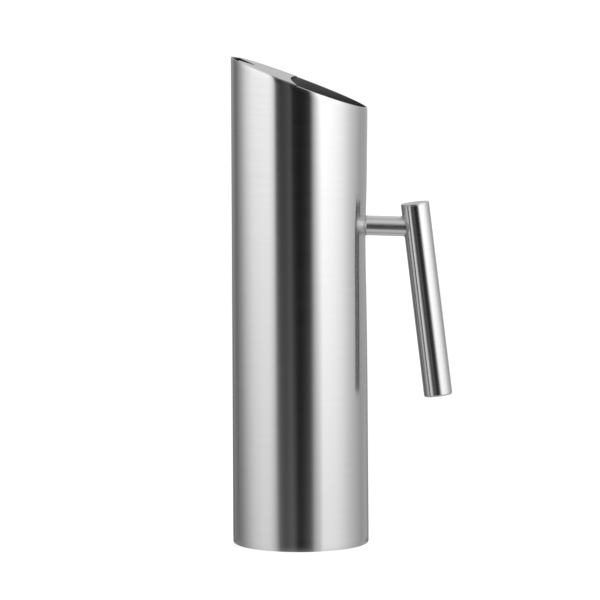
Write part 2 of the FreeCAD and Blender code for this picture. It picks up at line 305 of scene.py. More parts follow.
def stretched(tree: Tree, place: Socket, level: float, upright: float) -> Socket:
    """Scale a place by one factor along X and Y and by another along Z."""
    values, links = {"Scale": (level, level, upright)}, {"Vector": place}
    point = {"vector_type": "POINT"}
    return add_node(tree, "ShaderNodeMapping", point, values, links).outputs["Vector"]


def noise(tree: Tree, place: Socket, **values: float) -> Socket:
    """Add a noise pattern read at a place, with values for sockets such as Detail."""
    pattern = add_node(tree, "ShaderNodeTexNoise", values=values, links={"Vector": place})
    return pattern.outputs["Fac"]


def swinging(
    tree: Tree, pattern: Socket, middle: float, swing: float, low: float = 0.0, high: float = 1.0
) -> Socket:
    """Carry a pattern's range, low to high, to the range middle - swing to middle + swing."""
    values = {"From Min": low, "From Max": high, "To Min": middle - swing, "To Max": middle + swing}
    links = {"Value": pattern}
    return add_node(tree, "ShaderNodeMapRange", None, values, links).outputs["Result"]


def finish_steel(
    tree: Tree,
    pattern: Socket,
    colours: tuple[str, str],
    relief: float,
    values: dict[str, float],
    links: dict[str, Socket],
) -> None:
    """Close a steel's node tree: its colour and relief, the shader and the output.

    Args:
        tree: The node tree.
        pattern: The noise that the colour and the relief follow.
        colours: sRGB hex colours where the pattern is zero and where it is one.
        relief: How far the pattern rises, in metres.
        values: The shader's even values, by socket.
        links: What feeds the shader's other sockets.
    """
    ends = {"A": linear_colour(colours[0]), "B": linear_colour(colours[1])}
    mix = add_node(tree, "ShaderNodeMix", {"data_type": "RGBA"}, ends, {"Factor": pattern})
    depth = {"Strength": 1.0, "Distance": relief}
    bump = add_node(tree, "ShaderNodeBump", None, depth, {"Height": pattern})
    feeds = {"Base Color": mix.outputs["Result"], "Normal": bump.outputs["Normal"], **links}
    shader = add_node(tree, "ShaderNodeBsdfPrincipled", None, values, feeds).outputs["BSDF"]
    add_node(tree, "ShaderNodeOutputMaterial", links={"Surface": shader})


@dataclass(frozen=True)
class BrushedSteel:
    """Type 304 stainless steel sheet or tube, brushed with a fine abrasive belt.

    The belt leaves parallel hair-fine grooves, so a reflection stays crisp along the grooves
    and spreads across them. Patterns read Object coordinates turned so that Z is across the
    grain, which makes streaks that are long round the piece and fine along its axis. A second,
    broader pattern is the uneven pressure of the belt's passes.
    """

    name: str
    colour: str = "#CDCDCD"
    dark_streak: str = "#C4C4C4"
    roughness: float = 0.178
    roughness_swing: float = 0.012
    anisotropy: float = 0.667
    grain_tilt: float = 0.0  # degrees about +Y from the piece's axis to +Z
    streak_width: float = 0.55 * MM  # real grooves are 0.05 mm; drawn this coarse to show
    streak_length: float = 45.0 * MM
    streak_share: float = 0.6  # weight of the streaks against the belt's passes
    pass_level: float = 0.35  # how fast the passes change round the piece, against streaks
    pass_upright: float = 0.12  # and along its axis
    mixed_low: float = 0.45  # range of the streaks and the passes added up
    mixed_high: float = 1.15
    groove_depth: float = 0.0012 * MM
    metallic: float = 1.0  # below one where a thin oxide skin scatters a little light

    def material(self) -> Material:
        """Build the finish as a node tree.

        Returns:
            The material.
        """
        made = bpy.data.materials.new(self.name)
        tree = empty_tree(made)
        turned = add_node(
            tree,
            "ShaderNodeVectorRotate",
            {"rotation_type": "Y_AXIS"},
            {"Angle": math.radians(-self.grain_tilt)},
            {"Vector": object_place(tree)},
        ).outputs["Vector"]
        along, across = 1.0 / self.streak_length, 1.0 / self.streak_width
        hairs = stretched(tree, turned, along, across)
        broad = stretched(tree, turned, along * self.pass_level, across * self.pass_upright)
        streaks = noise(tree, hairs, Scale=1.0, Detail=4.0, Roughness=0.65)
        passes = noise(tree, broad, Scale=1.0, Detail=2.0)
        add = {"operation": "MULTIPLY_ADD"}
        parts = {0: streaks, 2: passes}
        mixed = add_node(tree, "ShaderNodeMath", add, {1: self.streak_share}, parts).outputs[0]
        swing = (self.roughness, self.roughness_swing)
        uv_map = {"direction_type": "UV_MAP", "uv_map": "grain"}
        links = {
            "Roughness": swinging(tree, mixed, *swing, self.mixed_low, self.mixed_high),
            "Tangent": add_node(tree, "ShaderNodeTangent", uv_map).outputs["Tangent"],
        }
        values = {"Metallic": self.metallic, "Anisotropic": self.anisotropy}
        colours = (self.colour, self.dark_streak)
        finish_steel(tree, streaks, colours, self.groove_depth, values, links)
        return made


@dataclass(frozen=True)
class WeldSteel:
    """A dressed weld bead in the same steel: darker, rough, faintly grained. Made near black, it
    also serves as painted shade on the guard's cut edges.

    As a bead it gives the eye the soft grey line where two pieces were joined by hand.
    """

    name: str
    colour: str = "#B8B8B7"
    tarnish: str = "#A2A1A0"
    roughness: float = 0.38
    roughness_swing: float = 0.08
    grain_size: float = 0.6 * MM
    relief: float = 0.01 * MM

    def material(self) -> Material:
        """Build the finish as a node tree.

        Returns:
            The material.
        """
        made = bpy.data.materials.new(self.name)
        tree = empty_tree(made)
        grains = noise(tree, object_place(tree), Scale=1.0 / self.grain_size, Detail=3.0)
        roughness = swinging(tree, grains, self.roughness, self.roughness_swing)
        colours = (self.colour, self.tarnish)
        links = {"Roughness": roughness}
        finish_steel(tree, grains, colours, self.relief, {"Metallic": 1.0}, links)
        return made


def dress(piece: bpy.types.Object, finish: Material, slot: str, *nodes: str) -> None:
    """Give a piece its finish, let it ride on the body and stand for its CAD nodes.

    Args:
        piece: The piece.
        finish: Its material.
        slot: The record's material slot for the finish; not used.
        *nodes: The CAD nodes that it replaces.
    """
    piece.data.materials.append(finish)
    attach(piece, BODY)
    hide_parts(*nodes)
    LOG.info("%s: %d faces, stands for %s", piece.name, len(piece.data.polygons), ", ".join(nodes))


# Body


@dataclass
class PitcherBody:
    """The round body: shell, base pan and the bead of the seam inside. Sizes in metres."""

    radius: float
    tip_height: float
    seam_height: float
    wall: float = 1.0 * MM
    slope: float = 20.6  # degrees
    rim_rounding: float = 0.42 * MM
    guarded_rounding: float = 0.12 * MM
    guard_from: float = -40.0 * MM  # the guard fills the mouth between these two x
    guard_to: float = -1.5 * MM
    guard_blend: float = 1.0 * MM  # half the stretch over which the rounding changes
    corner: float = 1.6 * MM
    ring_width: float = 5.0 * MM
    recess: float = 2.2 * MM
    recess_edge: float = 1.3 * MM
    recess_corner: float = 0.8 * MM
    seam_land: float = 0.6 * MM  # the pan's plain strip below the seam
    bead: float = 0.8 * MM
    bead_root: float = 0.15 * MM  # how far the bead reaches into the wall
    bead_ripple: float = 0.0012  # share of the radius
    bead_ripples: int = 120
    bead_columns: int = 720
    pull_depth: float = 1.5 * MM  # how far welding the stem pulls the shell in
    pull_height: float = 204.0 * MM
    pull_up: float = 30.0 * MM
    pull_down: float = 60.0 * MM
    pull_width: float = 31.0  # degrees round the body
    pull_low: float = 50.0 * MM  # it comes in over this height above the seam
    pull_high: tuple[float, float] = (45.0 * MM, 18.0 * MM)  # and goes between these, below the rim
    lining_reach: float = 3.0 * MM  # the bore lies within this of the outside
    rows: int = 84
    columns: int = 512

    @classmethod
    def from_frame(cls) -> "PitcherBody":
        """Read the body's main sizes from the frame."""
        low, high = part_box("body_shell")
        return cls(radius=(high.x - low.x) / 2.0, tip_height=high.z, seam_height=low.z)

    @property
    def slant(self) -> float:
        """The rim's slope in radians."""
        return math.radians(self.slope)

    @property
    def tan_slope(self) -> float:
        """Rise of the rim's plane per unit towards the tip."""
        return math.tan(self.slant)

    @property
    def rim_height(self) -> float:
        """Height of the rim's plane on the axis."""
        return self.tip_height - self.radius * self.tan_slope

    def rim_plane(self, x: Array) -> Array:
        """Height of the rim's plane above each x."""
        return self.rim_height - x * self.tan_slope

    def pull(self, angle: Array, height: Array) -> Array:
        """How far the shell is pulled in at each place.

        Formula: depth x exp(-(angle / width)^2) / (1 + (rise / reach)^2), where reach is
        shorter above the stem than below it, faded out near the seam and near the rim.

        Args:
            angle: Angle round the body from +X, in radians.
            height: Height above the table.

        Returns:
            The inward offset, in metres.
        """
        wrapped = (angle + np.pi) % (2.0 * np.pi) - np.pi
        round_body = np.exp(-((wrapped / math.radians(self.pull_width)) ** 2))
        rise = height - self.pull_height
        reach = np.where(rise > 0.0, self.pull_up, self.pull_down)
        up_body = 1.0 / (1.0 + (rise / reach) ** 2)
        low_fade = smooth_step(height, self.seam_height, self.seam_height + self.pull_low)
        fade_from, fade_to = (self.rim_height - below for below in self.pull_high)
        high_fade = 1.0 - smooth_step(height, fade_from, fade_to)
        return self.pull_depth * round_body * up_body * low_fade * high_fade

    def outer_radius(self, angle: Array, height: Array) -> Array:
        """Distance of the outside from the axis at each place."""
        return self.radius - self.pull(angle, height)

    def shell_grid(self) -> Array:
        """The shell as one closed ring section carried round the axis.

        Up the outside, over the rim and down the inside: the rim's two corners are quarter
        circles sheared into the slanted plane, and their radius shrinks where the guard is
        ground flush. Heights run evenly from the seam to the start of the rounding.

        Returns:
            The grid, as rows x columns x 3.
        """
        angle = full_circle(self.columns)
        across = self.radius * np.cos(angle)
        blend = self.guard_blend
        guarded = smooth_step(across, self.guard_from - blend, self.guard_from + blend)
        guarded *= 1.0 - smooth_step(across, self.guard_to - blend, self.guard_to + blend)
        outer_round = self.rim_rounding + (self.guarded_rounding - self.rim_rounding) * guarded
        inner_round = self.rim_rounding + (CRISP - self.rim_rounding) * guarded

        inside = self.radius - self.wall
        up = np.linspace(0.0, 1.0, self.rows)[:, None]
        down = up[::-1]
        turn = quarter_turn(ROUND_STEPS)[1:, None]

        outer_top = self.rim_plane(across) - outer_round
        outer_z = self.seam_height + up * (outer_top - self.seam_height)
        outer_r = self.outer_radius(angle, outer_z)

        round_r = self.radius - outer_round * (1.0 - np.cos(turn))
        round_z = self.rim_plane(round_r * np.cos(angle)) - outer_round * (1.0 - np.sin(turn))
        back_r = inside + inner_round * (1.0 - np.cos(turn[::-1]))
        back_z = self.rim_plane(back_r * np.cos(angle)) - inner_round * (1.0 - np.sin(turn[::-1]))

        inner_top = self.rim_plane(inside * np.cos(angle)) - inner_round
        inner_z = self.seam_height + down * (inner_top - self.seam_height)
        inner_r = inside - self.pull(angle, inner_z)

        radius = np.concatenate([outer_r, round_r, back_r, inner_r])
        height = np.concatenate([outer_z, round_z, back_z, inner_z])
        return np.stack([radius * np.cos(angle), radius * np.sin(angle), height], axis=-1)

    def pan_profile(self) -> Array:
        """The base pan's sheet: up the outside, over the seam's edge and down the inside.

        Straight runs joined by quarter circles, each inner one a sheet's thickness from its
        outer one, starting and ending on the axis.

        Returns:
            Rows of (distance from the axis, height).
        """
        ring_inside = self.radius - self.corner - self.ring_width
        sheet, inside, seam = self.wall, self.radius - self.wall, self.seam_height
        land = seam - self.seam_land
        corner = (self.radius - self.corner, self.corner)
        crease = (ring_inside - self.recess_corner, self.recess - self.recess_corner)
        edge, tight = self.recess_edge, 0.6 * self.recess_edge
        spoke = ring_inside * np.array([0.0, 0.3, 0.6])  # rings of points on the flat
        return np.concatenate([
            np.stack([spoke, np.full(3, self.recess)], -1),
            arc(crease, self.recess_corner, 90.0, 0.0, steps=6),
            arc((ring_inside + edge, edge), edge, 180.0, 270.0, steps=8),
            arc(corner, self.corner, 270.0, 360.0, steps=14),
            [[self.radius, land], [self.radius, seam], [inside, seam], [inside, land]],
            arc(corner, self.corner - sheet, 360.0, 270.0, steps=12),
            arc((ring_inside + edge, edge + sheet), tight, 270.0, 180.0, steps=6),
            arc(crease, self.recess_corner + sheet, 0.0, 90.0, steps=8),
            np.stack([spoke[::-1], np.full(3, self.recess + sheet)], -1),
        ])

    def seam_profile(self) -> Array:
        """The half-round bead of the butt weld, standing in from the shell's bore."""
        inside, seam = self.radius - self.wall, self.seam_height
        crown = arc((inside, seam), self.bead, 90.0, 270.0, steps=10)
        root = inside + self.bead_root
        return np.concatenate([crown, [[root, seam - self.bead], [root, seam + self.bead]]])

    def line_inside(self, piece: bpy.types.Object, finish: Material) -> None:
        """Give a second finish to the faces inside: those of the bore and of the floor.

        Args:
            piece: The shell or the pan, already dressed in its outer finish.
            finish: The finish of the faces inside.
        """
        normals, centres = face_fields(piece.data)
        reach = np.hypot(centres[:, 0], centres[:, 1])
        outward = np.sum(normals[:, :2] * centres[:, :2], axis=1) / np.maximum(reach, CRISP)
        bore = (outward < -FACING) & (reach > self.radius - self.lining_reach)
        floor = (normals[:, 2] > FACING) & (reach < self.radius - self.wall)
        # The inside finish is a darker grey: partly the duller mill finish, partly painted shade of
        # the hollow.
        piece.data.materials.append(finish)
        piece.data.polygons.foreach_set("material_index", (bore | floor).astype(np.int32))

    def bead_grid(self) -> Array:
        """The seam's bead carried round the bore, its crown rippled as welding leaves it."""
        grid = lathe(self.seam_profile(), self.bead_columns)
        ripple = 1.0 + self.bead_ripple * np.sin(full_circle(self.bead_columns) * self.bead_ripples)
        crown = grid[:, :1, :1] < self.radius - self.wall
        grid[:, :, :2] *= np.where(crown, ripple[:, :, None], 1.0)
        return grid

    def build(self, sheet: Material, inside: Material, weld: Material) -> None:
        """Make the three pieces of the body and dress them.

        Args:
            sheet: The finish of the shell and the pan outside.
            inside: The finish of their faces inside.
            weld: The finish of the bead.
        """
        shell = make_piece("shell", self.shell_grid(), Ends.JOINED)
        dress(shell, sheet, "brushed_shell", "body_shell")
        self.line_inside(shell, inside)
        pan = make_piece("pressed_base", lathe(self.pan_profile(), self.columns), Ends.OPEN)
        dress(pan, sheet, "brushed_shell", "base_pan")
        self.line_inside(pan, inside)
        bead = make_piece("seam_bead", self.bead_grid(), Ends.JOINED)
        dress(bead, weld, "weld_bead", "base_seam_weld")


# Ice guard


@dataclass
class IceGuard:
    """The slotted plate just proud of the rim, and the bead under each side of it.

    Distances run down the slope from the rim's tip, in metres.
    """

    body: PitcherBody
    sheet: float = 1.2 * MM
    proud: float = 0.45 * MM
    front: float = 5.7 * MM
    slot_end: float = 16.9 * MM
    slot_radius: float = 7.0 * MM
    slot_mouth: float = 26.0 * MM
    mouth_corner: float = 1.2 * MM
    rear_middle: float = 42.2 * MM
    rear_radius: float = 222.0 * MM
    rear_reach: float = 0.9985  # half width of the rear edge, as a share of the bore's
    edge: float = 0.12 * MM
    border: float = 0.12 * MM  # strip of small faces just inside the rounded edge
    flush_reach: float = 0.3 * MM  # the flush edges lie within this of the bore
    edge_cosine: float = 0.3  # below this cosine a face belongs to the plate's edge
    bead: float = 1.1 * MM
    bead_front: float = 0.8 * MM  # how far behind the front edge the beads start
    bead_rear: float = 2.5 * MM  # how far past the rear edge's middle they end
    bead_back: float = 0.1 * MM  # how far they reach into the wall and the plate
    ripple: float = 0.06  # share of the bead's size
    ripple_pitch: float = 2.0 * MM
    taper: float = 6.0  # how steeply the beads thin out at their ends
    thinnest: float = 0.05
    front_steps: int = 10
    corner_points: int = 8
    flank_steps: int = 8
    slot_steps: int = 27
    rear_steps: int = 71
    side_points: int = 110
    stations: int = 160

    @property
    def tip(self) -> float:
        """Where the tip lies along the slope, counted from the body's axis."""
        return -self.body.radius / math.cos(self.body.slant)

    @property
    def bore(self) -> float:
        """Radius of the shell's bore."""
        return self.body.radius - self.body.wall

    @property
    def plane_normal(self) -> Array:
        """Unit vector square to the plate, pointing up."""
        slant = self.body.slant
        return np.array([math.sin(slant), 0.0, math.cos(slant)])

    def to_world(self, along: Array, across: Array, above: Array) -> Array:
        """Carry places in the slanted plane into the frame.

        Formula: along the slope is (cos, 0, -sin) of the slope's angle, across is +Y, and
        above the plane is (sin, 0, cos).

        Args:
            along: Distance down the slope from the body's axis.
            across: Distance along +Y.
            above: Height above the plate's top face, square to it.

        Returns:
            Points, with a last axis of 3.
        """
        slant = self.body.slant
        x = along * math.cos(slant) + above * math.sin(slant)
        level = self.body.rim_height + self.proud / math.cos(slant)
        z = level - along * math.sin(slant) + above * math.cos(slant)
        return np.stack([x, across + 0.0 * x, z], axis=-1)

    def outline(self) -> tuple[Array, Array]:
        """The plate's outline as seen from above, anticlockwise, and how free each point is.

        It runs along the front edge, round the slot, along the front edge again, along the
        shell's bore, back along the hollow rear edge, and along the bore to the start.

        Returns:
            The outline as rows of (along, across), and a number from 0, ground flush to the
            shell, to 1, a free edge.
        """
        bore = self.bore
        cos_slope = math.cos(self.body.slant)
        front = self.tip + self.front
        slot_centre = self.tip + self.slot_end - self.slot_radius
        mouth = self.slot_mouth / 2.0
        mirror = np.array([1.0, -1.0])

        reach = math.hypot(slot_centre - front, mouth)
        bearing = math.atan2(mouth, front - slot_centre)
        touch = math.degrees(bearing - math.acos(self.slot_radius / reach))
        slot = arc((slot_centre, 0.0), self.slot_radius, touch, -touch, self.slot_steps)
        bore_at_front = bore * math.sqrt(1.0 - (front * cos_slope / bore) ** 2)
        rear_centre = (self.tip + self.rear_middle + self.rear_radius, 0.0)
        rear_turn = math.degrees(math.asin(bore * self.rear_reach / self.rear_radius))
        rear_ends = (180.0 - rear_turn, 180.0 + rear_turn)
        rear = arc(rear_centre, self.rear_radius, *rear_ends, self.rear_steps)

        def run(start: Array, end: Array, steps: int) -> Array:
            """Evenly spaced points from start up to, not including, end."""
            share = np.linspace(0.0, 1.0, steps, endpoint=False)[:, None]
            return start + share * (end - start)

        def corner(before: Array, at: Array, after: Array) -> Array:
            """A round corner: the quadratic curve between points one corner radius away."""
            first = at + (before - at) / np.linalg.norm(before - at) * self.mouth_corner
            last = at + (after - at) / np.linalg.norm(after - at) * self.mouth_corner
            share = np.linspace(0.0, 1.0, self.corner_points)[:, None]
            return (1 - share) ** 2 * first + 2 * share * (1 - share) * at + share**2 * last

        wall_left = np.array([front, bore_at_front])
        left_corner = corner(wall_left, np.array([front, mouth]), slot[0])
        start_angle = math.atan2(-bore_at_front, front * cos_slope)
        end_angle = math.atan2(rear[-1][1], rear[-1][0] * cos_slope)
        side = np.linspace(start_angle, end_angle, self.side_points)[1:-1]
        side_right = np.stack([bore * np.cos(side) / cos_slope, bore * np.sin(side)], -1)
        to_corner = run(wall_left, left_corner[0], self.front_steps)
        to_slot = run(left_corner[-1], slot[0], self.flank_steps)[1:]
        left = np.concatenate([to_corner, left_corner, to_slot])
        right = left[::-1] * mirror
        stretches = [
            (left, 1.0),
            (slot, 1.0),
            (right[:-1], 1.0),
            (right[-1:], 0.0),
            (side_right, 0.0),
            (rear[::-1], 1.0),
            (side_right[::-1] * mirror, 0.0),
        ]
        points = np.concatenate([stretch for stretch, _ in stretches])
        freedom = np.concatenate([np.full(len(stretch), free) for stretch, free in stretches])
        return points, freedom

    def plate_grid(self) -> Array:
        """The plate as loops of its own outline: in from the top, round the edge and under.

        Each loop is the outline moved inwards by an inset and down by a depth. The free
        edges turn through a quarter circle at the top and at the underside, and the edges
        along the bore keep a crisp corner.

        Returns:
            The grid, as loops x outline points x 3.
        """
        outline, freedom = self.outline()

        def unit(steps: Array) -> Array:
            """The same directions, each at length one."""
            return steps / np.linalg.norm(steps, axis=1, keepdims=True)

        after, before = np.roll(outline, -1, axis=0), np.roll(outline, 1, axis=0)
        along = unit(unit(after - outline) + unit(outline - before))
        area = np.sum(outline[:, 0] * after[:, 1] - after[:, 0] * outline[:, 1])
        inward = np.stack([-along[:, 1], along[:, 0]], axis=-1) * np.sign(area)
        edge = (CRISP + (self.edge - CRISP) * freedom)[None, :]

        turn = quarter_turn(ROUND_STEPS)[:, None]
        top_inset = np.concatenate([edge + self.border, edge * (1.0 - np.sin(turn))])
        top_depth = np.concatenate([edge * 0.0, edge * (1.0 - np.cos(turn))])
        inset = np.concatenate([top_inset, top_inset[::-1]])
        depth = np.concatenate([top_depth, self.sheet - top_depth[::-1]])
        place = outline[None] + inset[:, :, None] * inward[None]
        return self.to_world(place[:, :, 0], place[:, :, 1], -depth)

    def bead_grid(self, side: int) -> Array:
        """The bead under one side: a quarter-round section carried along the bore.

        The section's corner lies where the plate's underside meets the bore, and its round
        face has a low ripple every two millimetres, as hand welding leaves.

        Args:
            side: 1 for the side at +Y, -1 for the side at -Y.

        Returns:
            The grid, as stations x section points x 3.
        """
        bore = self.bore
        cos_slope = math.cos(self.body.slant)
        front = (self.tip + self.front + self.bead_front) * cos_slope
        rear = (self.tip + self.rear_middle + self.bead_rear) * cos_slope
        angle = np.linspace(math.acos(front / bore), math.acos(rear / bore), self.stations)[:, None]
        ripple = 1.0 + self.ripple * np.sin(angle * bore / self.ripple_pitch * 2.0 * np.pi)
        from_ends = np.sin(np.linspace(0.0, np.pi, self.stations)) * self.taper
        fade = np.sqrt(np.clip(from_ends, self.thinnest, 1.0))[:, None]
        turn = quarter_turn(steps=8)[None, :]
        leg = self.bead * ripple * fade
        back = 0.0 * leg - self.bead_back
        radius = bore - np.concatenate([leg * np.cos(turn), back], axis=1)
        drop = np.concatenate([leg * np.sin(turn), back], axis=1)
        x = radius * np.cos(angle)
        y = radius * np.sin(angle) * side
        under = (self.sheet - self.proud) / cos_slope
        return np.stack([x, y, self.body.rim_plane(x) - under - drop], axis=-1)

    def build(self, plate: Material, cut: Material, flush: Material, weld: Material) -> None:
        """Make the plate and its two beads and dress them.

        Args:
            plate: The finish of the plate's faces.
            cut: The finish of its free edges, in the slot and at the front and rear.
            flush: The finish of its edges along the shell, dressed together with the rim.
            weld: The finish of the beads.
        """
        guard = make_piece("guard_plate", self.plate_grid(), Ends.CAPPED)
        dress(guard, plate, "satin_guard", "ice_guard")
        # The upright free edges take the near-black edge finish, which is painted shade of the
        # slot's hollow. The edges along the bore take the shell's finish.
        guard.data.materials.append(cut)
        guard.data.materials.append(flush)
        normals, centres = face_fields(guard.data)
        upright = np.abs(normals @ self.plane_normal) < self.edge_cosine
        along_bore = np.hypot(centres[:, 0], centres[:, 1]) > self.bore - self.flush_reach
        index = (upright * (1 + along_bore)).astype(np.int32)
        guard.data.polygons.foreach_set("material_index", index)
        for name, side in (("left", 1), ("right", -1)):
            bead = make_piece(f"guard_bead_{name}", self.bead_grid(side), Ends.CAPPED)
            dress(bead, weld, "weld_bead", f"guard_weld_{name}")


# Handle


@dataclass
class Handle:
    """The stem, the bar grip with its two end caps, and the two weld beads, in metres."""

    body: PitcherBody
    grip_top: Vector
    stem_axis_height: float = 212.9 * MM
    stem_droop: float = 1.9  # degrees
    stem_radius: float = 6.5 * MM
    stem_wall: float = 1.2 * MM
    grip_tilt: float = 6.84  # degrees
    grip_radius: float = 9.4 * MM
    grip_wall: float = 1.2 * MM
    grip_length: float = 129.2 * MM
    cap_sheet: float = 1.5 * MM
    cap_edge: float = 0.4 * MM
    end_cap_height: float = 2.4 * MM
    end_cap_rounding: float = 1.3 * MM
    root_leg: float = 0.8 * MM
    joint_leg: float = 1.0 * MM
    bead_back: float = 0.12 * MM  # how far a bead's back lies under both faces
    ripple: float = 0.05  # share of a bead's size
    ripples: int = 22
    overlap: float = 0.15 * MM  # how far the stem runs into the shell and into the grip
    margin: float = 0.2 * MM  # ring left flat inside a cap's rounded edge
    search_from: float = 15.0 * MM  # outside the body, where the search for the grip starts
    search_pace: float = 0.7  # share of the gap stepped at a time, as the grip is slanted
    shell_tries: int = 12
    grip_tries: int = 40
    stem_rows: int = 24
    bar_rows: int = 48
    columns: int = 192

    @classmethod
    def from_frame(cls, body: PitcherBody) -> "Handle":
        """Read where the grip hangs from the frame: the middle of its top cap."""
        low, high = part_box("grip_top_cap")
        handle = cls(body=body, grip_top=(low + high) / 2.0)
        handle.grip_top = handle.grip_top + handle.grip_axis * (cls.cap_sheet / 2.0)
        return handle

    @property
    def grip_axis(self) -> Vector:
        """The grip's own upward direction."""
        tilt = math.radians(self.grip_tilt)
        return Vector((-math.sin(tilt), 0.0, math.cos(tilt)))

    @property
    def grip_place(self) -> Matrix:
        """Carries a profile on the Z axis, hanging down from zero, to the grip's place."""
        tilt = Matrix.Rotation(-math.radians(self.grip_tilt), 4, "Y")
        return Matrix.Translation(self.grip_top) @ tilt

    def stem_point(self, run: Array, radius: Array, turn: Array) -> Array:
        """A place near the stem: so far out along its axis, off it by a radius at a turn.

        Formula: axis start + run x axis + radius x (cos(turn) x side + sin(turn) x up), where
        side is +Y and up is square to both.

        Args:
            run: Distance out along the stem from the body's axis.
            radius: Distance from the stem's axis.
            turn: Angle round the stem, in radians.

        Returns:
            Points, with a last axis of 3.
        """
        droop = math.radians(self.stem_droop)
        lift = radius * np.sin(turn)
        x = run * math.cos(droop) + lift * math.sin(droop)
        y = radius * np.cos(turn) + 0.0 * run
        z = self.stem_axis_height - run * math.sin(droop) + lift * math.cos(droop)
        return np.stack([x + 0.0 * y, y, z + 0.0 * y], axis=-1)

    def shell_gap(self, points: Array) -> Array:
        """How far outside the shell's outer face each point lies."""
        angle = np.arctan2(points[..., 1], points[..., 0])
        distance = np.hypot(points[..., 0], points[..., 1])
        return distance - self.body.outer_radius(angle, points[..., 2])

    def grip_gap(self, points: Array) -> Array:
        """How far outside the grip's round face each point lies."""
        axis = np.array(self.grip_axis)
        offset = points - np.array(self.grip_top)
        along = offset @ axis
        return np.linalg.norm(offset - along[..., None] * axis, axis=-1) - self.grip_radius

    def meet_shell(self, radius: Array, turn: Array) -> Array:
        """Run along the stem's direction at which each line leaves the shell.

        Starts one body radius out and steps back by the gap until it vanishes.
        """
        run = np.full(np.broadcast(radius, turn).shape, self.body.radius)
        for _ in range(self.shell_tries):
            run = run - self.shell_gap(self.stem_point(run, radius, turn))
        return run

    def meet_grip(self, radius: Array, turn: Array) -> Array:
        """Run along the stem's direction at which each line reaches the grip."""
        start = self.body.radius + self.search_from
        run = np.full(np.broadcast(radius, turn).shape, start)
        for _ in range(self.grip_tries):
            run = run + self.search_pace * self.grip_gap(self.stem_point(run, radius, turn))
        return run

    def stem_grid(self) -> Array:
        """The stem's tube: out along the outside, in along the bore, saddled at both ends.

        Returns:
            The grid, as rows x columns x 3.
        """
        turn = full_circle(self.columns)
        share = np.linspace(0.0, 1.0, self.stem_rows)[:, None]
        rings = []
        for radius, order in ((self.stem_radius, 1), (self.stem_radius - self.stem_wall, -1)):
            size = np.full_like(turn, radius)
            start = self.meet_shell(size, turn) - self.overlap
            end = self.meet_grip(size, turn) + self.overlap
            rings.append(self.stem_point(start + share[::order] * (end - start), radius, turn))
        return np.concatenate(rings)

    def fillet_grid(self, leg: float, at_shell: bool) -> Array:
        """A hollow weld bead round the stem where it meets the shell or the grip.

        Formula: at each angle a from 0 to 90 degrees the face is leg x (1 - sin a) off the
        stem and leg x (1 - cos a) off the wall, so it starts flat on the wall and ends flat
        on the stem. The back of the bead lies just under both faces.

        Args:
            leg: How far the bead reaches along the wall and along the stem.
            at_shell: True for the shell's end of the stem, False for the grip's.

        Returns:
            The grid, as rows x columns x 3.
        """
        turn = full_circle(self.columns)
        sweep = quarter_turn(steps=10)[:, None]
        size = leg * (1.0 + self.ripple * np.sin(turn * self.ripples))
        back = np.full_like(turn, -self.bead_back)
        radius = self.stem_radius + np.concatenate([size * (1.0 - np.sin(sweep)), back])
        rise = np.concatenate([size * (1.0 - np.cos(sweep)), back])
        if at_shell:
            run = self.meet_shell(radius, turn) + rise
        else:
            run = self.meet_grip(radius, turn) - rise
        return self.stem_point(run, radius, turn)

    def tube_profile(self) -> Array:
        """The grip's tube between its two caps, as a closed section."""
        top, bottom = -self.cap_sheet, -(self.grip_length - self.end_cap_height)
        outside, inside = self.grip_radius, self.grip_radius - self.grip_wall
        height = np.linspace(bottom, top, self.bar_rows)
        up = np.stack([np.full_like(height, outside), height], -1)
        down = np.stack([np.full_like(height, inside), height[::-1]], -1)
        return np.concatenate([up, down])

    def top_cap_profile(self) -> Array:
        """The top disc: flat, with a small round edge."""
        radius, edge = self.grip_radius, self.cap_edge
        flat = np.array([[0.0, 0.0], [0.5 * radius, 0.0], [radius - edge - self.margin, 0.0]])
        rim = arc((radius - edge, -edge), edge, 90.0, 0.0, steps=8)
        foot = np.array([[radius, -self.cap_sheet], [0.0, -self.cap_sheet]])
        return np.concatenate([flat, rim, foot])

    def bottom_cap_profile(self) -> Array:
        """The bottom disc: flat underneath, with a full round edge."""
        radius, edge = self.grip_radius, self.end_cap_rounding
        low = -self.grip_length
        top = low + self.end_cap_height
        wall = np.array([[0.0, top], [radius, top]])
        rim = arc((radius - edge, low + edge), edge, 0.0, -90.0, steps=12)
        flat = np.array([[radius - edge - self.margin, low], [0.5 * radius, low], [0.0, low]])
        return np.concatenate([wall, rim, flat])

    def build(self, bar: Material, rod: Material, disc: Material, weld: Material) -> None:
        """Make the six pieces of the handle and dress them.

        Args:
            bar: The finish of the grip and its rounded end, brushed round its own axis.
            rod: The finish of the stem, brushed round its own axis.
            disc: The finish of the top disc.
            weld: The finish of the beads.
        """
        stem = make_piece("stem_tube", self.stem_grid(), Ends.JOINED)
        dress(stem, rod, "brushed_handle", "handle_stem")
        root = make_piece("stem_root_bead", self.fillet_grid(self.root_leg, True), Ends.JOINED)
        dress(root, weld, "weld_bead", "stem_root_weld")
        joint = make_piece("grip_joint_bead", self.fillet_grid(self.joint_leg, False), Ends.JOINED)
        dress(joint, weld, "weld_bead", "grip_joint_weld")
        for name, profile, ends, finish, node in (
            ("grip_bar", self.tube_profile(), Ends.JOINED, bar, "grip_tube"),
            ("grip_top_disc", self.top_cap_profile(), Ends.OPEN, disc, "grip_top_cap"),
            ("grip_end_disc", self.bottom_cap_profile(), Ends.OPEN, bar, "grip_bottom_cap"),
        ):
            grid = placed(lathe(profile, self.columns), self.grip_place)
            dress(make_piece(name, grid, ends), finish, "brushed_handle", node)


# Studio


@dataclass(frozen=True)
class TentStop:
    """The light tent's brightness in one direction from the body.

    azimuth is in degrees: 0 is towards the camera, 90 is the camera's right (+X), -90 its
    left, and 180 is behind the body. level is the brightness level with the body's middle,
    and low is the brightness 14 degrees below that.
    """

    azimuth: float
    level: float
    low: float


